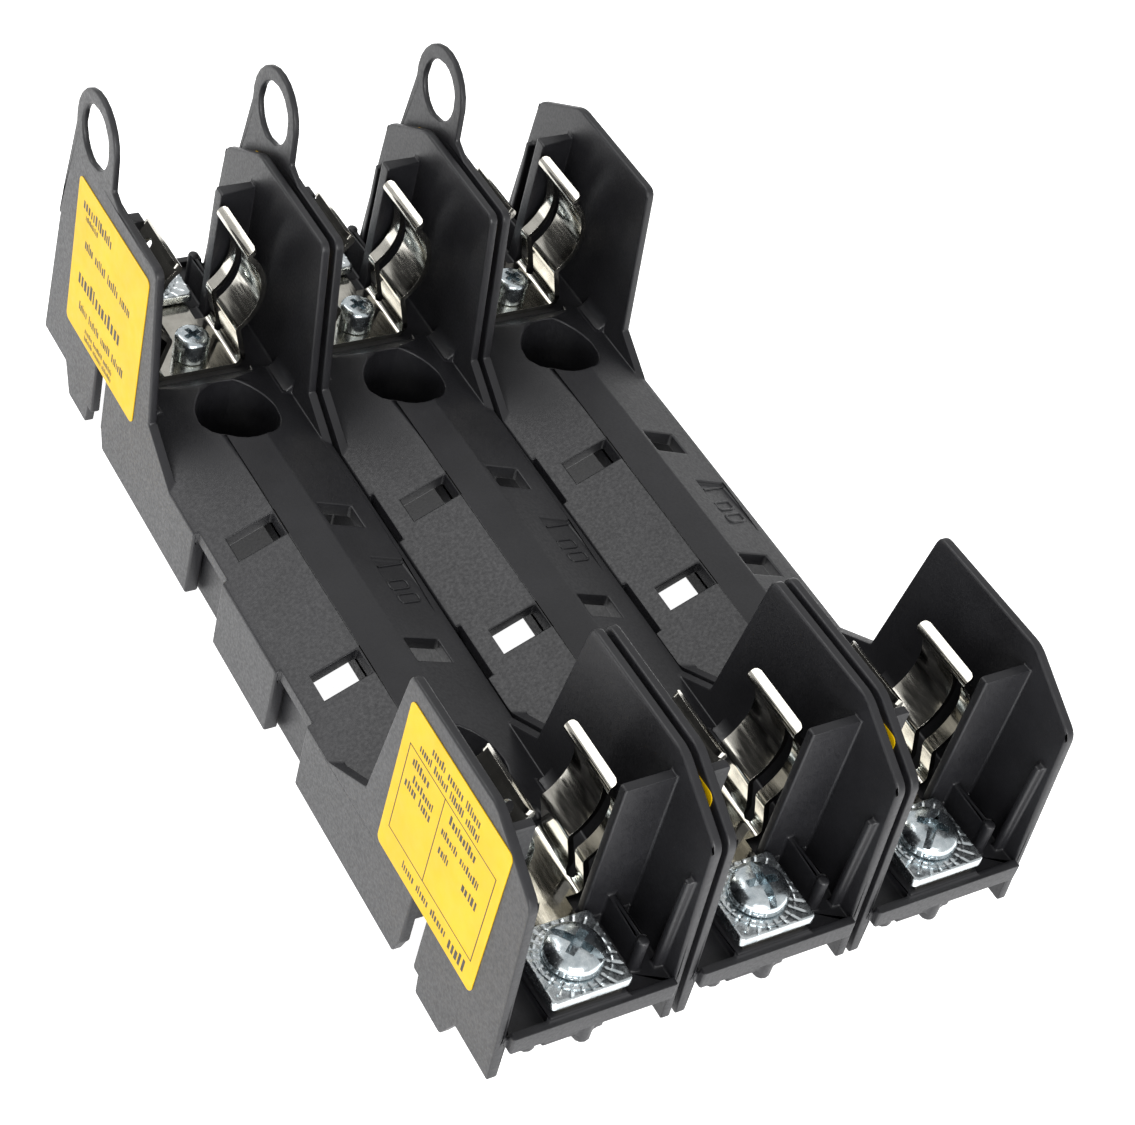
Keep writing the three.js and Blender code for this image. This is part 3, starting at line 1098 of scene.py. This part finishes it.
@dataclass
class Label:
    """Yellow film on the outside of the left wall, with blocks of ink where a print would be."""

    station: Station
    start: float = 71.6
    end: float = 43.9
    top: float = 42.6
    bottom: float = 14.0
    film: float = 0.13
    ink: float = 0.02
    glue: float = 0.005
    corner: float = 1.1
    rule: float = 0.16

    def lines(self) -> list:
        """The lines of print of this end's label."""
        if self.station.end is End.LINE:
            return [
                Line(2.5, 13.6, 2.8, 4.7), Line(3.7, 8.5, 5.3, 6.3), Line(4.4, 22.4, 9.5, 11.3, 4),
                Line(3.3, 20.0, 16.2, 18.9), Line(4.5, 22.5, 21.9, 23.5, 4),
                Line(7.6, 18.7, 25.2, 26.2, 3), Line(7.6, 18.7, 26.7, 27.6, 3),
            ]
        return [
            Line(7.0, 20.0, 1.9, 3.4, 3), Line(4.3, 20.5, 4.2, 5.6, 4), Line(3.5, 8.0, 7.6, 9.1),
            Line(4.5, 10.0, 10.3, 11.7), Line(2.9, 10.0, 12.2, 13.8, 2), Line(14.0, 21.0, 7.6, 9.2),
            Line(13.0, 23.0, 11.0, 12.4, 2), Line(13.4, 16.0, 14.2, 15.8),
            Line(20.0, 23.8, 14.2, 15.8), Line(7.0, 19.5, 25.2, 26.7, 3),
            Line(20.6, 25.0, 25.0, 27.3),
        ]

    def rules(self) -> list:
        """The thin ruled lines of this end's label, as (a0, a1, b0, b1)."""
        if self.station.end is End.LINE:
            return []
        left, middle, right = 1.9, 11.9, 26.0
        upper, lower, foot, wide = 6.5, 23.6, 23.7, self.rule
        return [
            (left, right, upper, upper + wide), (left, right, lower, lower + wide),
            (left, left + wide, upper, foot), (right - wide, right, upper, foot),
            (middle, middle + wide, upper, foot),
        ]

    def blocks(self, line: Line, chance: np.random.Generator) -> np.ndarray:
        """A line of print as little blocks, in words parted by wider gaps.

        Args:
            line: where it runs.
            chance: the seeded source of the blocks' widths.

        Returns:
            N x 4 of (a0, a1, b0, b1).
        """
        tall = line.b1 - line.b0
        count = max(5, int((line.a1 - line.a0) / (tall * 0.42)))
        widths = chance.uniform(0.55, 1.15, count)
        gaps = chance.uniform(0.5, 0.95, count)
        breaks = np.linspace(0, count, line.words + 1)[1:-1].astype(int)
        gaps[breaks] = 2.6
        at = np.cumsum(gaps + np.concatenate([[0.0], widths[:-1]]))
        at -= at[0]
        scale = (line.a1 - line.a0) / (at[-1] + widths[-1])
        a0, a1 = line.a0 + at * scale, line.a0 + (at + widths) * scale
        rise = np.where(chance.random(count) < 0.35, 0.0, 0.26) * tall
        return np.stack([a0, a1, line.b0 + rise, np.full(count, line.b1)], axis=1)

    def slab(self, loop: np.ndarray, x0: float, x1: float) -> Surface:
        """A flat slab whose outline is `loop` in (y, z), between x0 and x1."""
        n = len(loop)
        points = np.vstack([np.column_stack([np.full(n, x), loop]) for x in (x0, x1)])
        ring = np.arange(n)
        sides = np.stack([ring, (ring + 1) % n, (ring + 1) % n + n, ring + n], axis=1).tolist()
        return Surface(points, [tuple(ring[::-1].tolist()), tuple((ring + n).tolist())] + sides)

    def build_film(self) -> Piece:
        """The film: a thin slab with round corners.

        Returns:
            The piece.
        """
        half = ((self.start - self.end) / 2, (self.top - self.bottom) / 2)
        loop = rounded_rectangle(*half, self.corner, 2, 10)
        loop = loop + [(self.start + self.end) / 2, (self.top + self.bottom) / 2]
        slab = self.slab(loop, -self.film, -self.glue)
        piece = make_piece(self.station.node("label_film"), slab, self.station)
        turn_outward(piece)
        return piece

    def build_ink(self, chance: np.random.Generator) -> Piece:
        """The ink: every block of every line as a closed slab a hair proud of the film.

        Args:
            chance: the seeded source of the blocks' widths.

        Returns:
            The piece.
        """
        blocks = [self.blocks(line, chance) for line in self.lines()]
        spans = np.vstack(blocks + [np.array(self.rules()).reshape(-1, 4)])
        forward = self.station.end is End.LINE
        along = (lambda a: self.start - a) if forward else (lambda a: self.end + a)
        x_out, x_in = -self.film - self.ink, -self.film - 0.001
        corners = []
        for x in (x_out, x_in):
            for pick_a, pick_b in ((0, 2), (1, 2), (1, 3), (0, 3)):
                y = along(spans[:, pick_a])
                z = self.top - spans[:, pick_b]
                corners.append(np.column_stack([np.full(len(spans), x), y, z]))
        points = np.stack(corners, axis=1).reshape(-1, 3)
        box_faces = np.array([
            [0, 1, 2, 3], [7, 6, 5, 4], [0, 4, 5, 1], [1, 5, 6, 2], [2, 6, 7, 3], [3, 7, 4, 0],
        ])
        faces = (box_faces[None] + 8 * np.arange(len(spans))[:, None, None]).reshape(-1, 4)
        surface = Surface(points, faces.tolist())
        piece = make_piece(self.station.node("label_ink"), surface, self.station)
        turn_outward(piece)
        return piece

    def dress(self, film: Piece, ink: Piece) -> None:
        """Finishes the label, puts film and ink on the block and hides the CAD label."""
        dress(film, FILM)
        dress(ink, INK)
        hand_in(film, Body.BLOCK.value, "label", self.station.node("label"))
        hand_in(ink, Body.BLOCK.value, "label")


# ------------ studio
@dataclass
class Studio:
    """Camera, floor and soft lights.

    The target, distance, floor, gap and aim are lengths in the frame: the first two in
    millimetres, the rest in metres.
    """

    azimuth: float = -39.308
    elevation: float = 43.008
    roll: float = 15.576
    target: tuple = (-11.444, -11.612, 26.4)
    distance: float = 366.222
    lens: float = 78.549
    shift_x: float = 0.06
    aim: float = 0.02
    floor_half: float = 3.0
    gap: float = 0.0002
    floor_glow: float = 0.98
    sky: float = 0.7

    def axes(self) -> tuple:
        """The camera's right, up and back in the frame.

        Back is (sin a cos e, -cos a cos e, sin e); right and up are turned about it by the roll.

        Returns:
            Three unit vectors.
        """
        a, e, r = (math.radians(v) for v in (self.azimuth, self.elevation, self.roll))
        back = np.array([math.sin(a) * math.cos(e), -math.cos(a) * math.cos(e), math.sin(e)])
        level = np.array([math.cos(a), math.sin(a), 0.0])
        upright = np.cross(back, level)
        right = math.cos(r) * level + math.sin(r) * upright
        up = -math.sin(r) * level + math.cos(r) * upright
        return right, up, back

    def pose(self, right: np.ndarray, up: np.ndarray, back: np.ndarray, place: tuple) -> Matrix:
        """The matrix whose columns are three axes and a place."""
        matrix = np.eye(4)
        matrix[:3] = np.column_stack([right, up, back, place])
        return Matrix(matrix.tolist())

    def camera(self) -> None:
        """Places the camera."""
        right, up, back = self.axes()
        place = (np.array(self.target) + back * self.distance) * MM
        data = bpy.data.cameras.new("camera")
        data.lens = self.lens
        data.sensor_width = 36.0
        data.shift_x = self.shift_x
        data.clip_start = 0.01
        camera = link("camera", data)
        camera.matrix_world = self.pose(right, up, back, place)
        bpy.context.scene.camera = camera

    def floor(self) -> None:
        """Lays a sheet of white paper a little below the block's feet."""
        mesh = bpy.data.meshes.new("floor")
        corners = self.floor_half * np.array([[-1, -1], [1, -1], [1, 1], [-1, 1]])
        mesh.from_pydata(np.column_stack([corners, np.full(4, -self.gap)]), [], [(0, 1, 2, 3)])
        floor = link("floor", mesh)
        dress(floor, PAPER)
        nodes = floor.data.materials[0].node_tree.nodes
        shader = next(node for node in nodes if node.type == "BSDF_PRINCIPLED")
        shader.inputs["Emission Color"].default_value = (1.0, 1.0, 1.0, 1.0)
        shader.inputs["Emission Strength"].default_value = self.floor_glow

    def softbox(self, name: str, place: tuple, size: tuple, watts: float) -> None:
        """Hangs a rectangular light that looks at the block.

        Args:
            name: the light's name.
            place: its middle in metres.
            size: its sides in metres.
            watts: its power.
        """
        data = bpy.data.lights.new(name, "AREA")
        data.shape = "RECTANGLE"
        data.size, data.size_y = size
        data.energy = watts
        light = link(name, data)
        back = np.array(place) - np.array([0.0, 0.0, self.aim])
        back /= np.linalg.norm(back)
        side = np.cross([0.0, 0.0, 1.0], back)
        side /= np.linalg.norm(side)
        light.matrix_world = self.pose(side, np.cross(back, side), back, place)

    def light(self) -> None:
        """Sets the white surroundings and the softboxes."""
        world = bpy.data.worlds.new("studio")
        world.use_nodes = True
        background = world.node_tree.nodes["Background"]
        background.inputs["Color"].default_value = (1.0, 1.0, 1.0, 1.0)
        background.inputs["Strength"].default_value = self.sky
        bpy.context.scene.world = world
        self.softbox("overhead", (-0.32, 0.42, 0.72), (0.7, 0.5), 2.9)
        self.softbox("front", (-0.25, -0.8, 0.3), (0.5, 0.35), 6.0)

    def build(self) -> None:
        """Builds the whole studio."""
        self.camera()
        self.floor()
        self.light()
        bpy.context.scene.view_settings.view_transform = "Standard"


def main() -> None:
    """Builds every piece of the block, pole by pole, and the studio round it."""
    logging.basicConfig(level=logging.INFO, format="%(message)s")
    Studio().build()
    chance = np.random.default_rng(SEED)
    for pole in POLES:
        for part in (Moulding(pole), SlopeMarks(pole)):
            part.dress(part.build())
        for end in End:
            station = Station(pole, end)
            turn = math.radians(40.0 * pole + (15.0 if end is End.LOAD else 0.0))
            parts = (
                Clip(station), ClipScrew(station), TerminalScrew(station, turn=turn),
                WirePlate(station), Nut(station),
            )
            for part in parts:
                part.dress(part.build())
            label = Label(station)
            label.dress(label.build_film(), label.build_ink(chance))


if __name__ == "__main__":
    main()
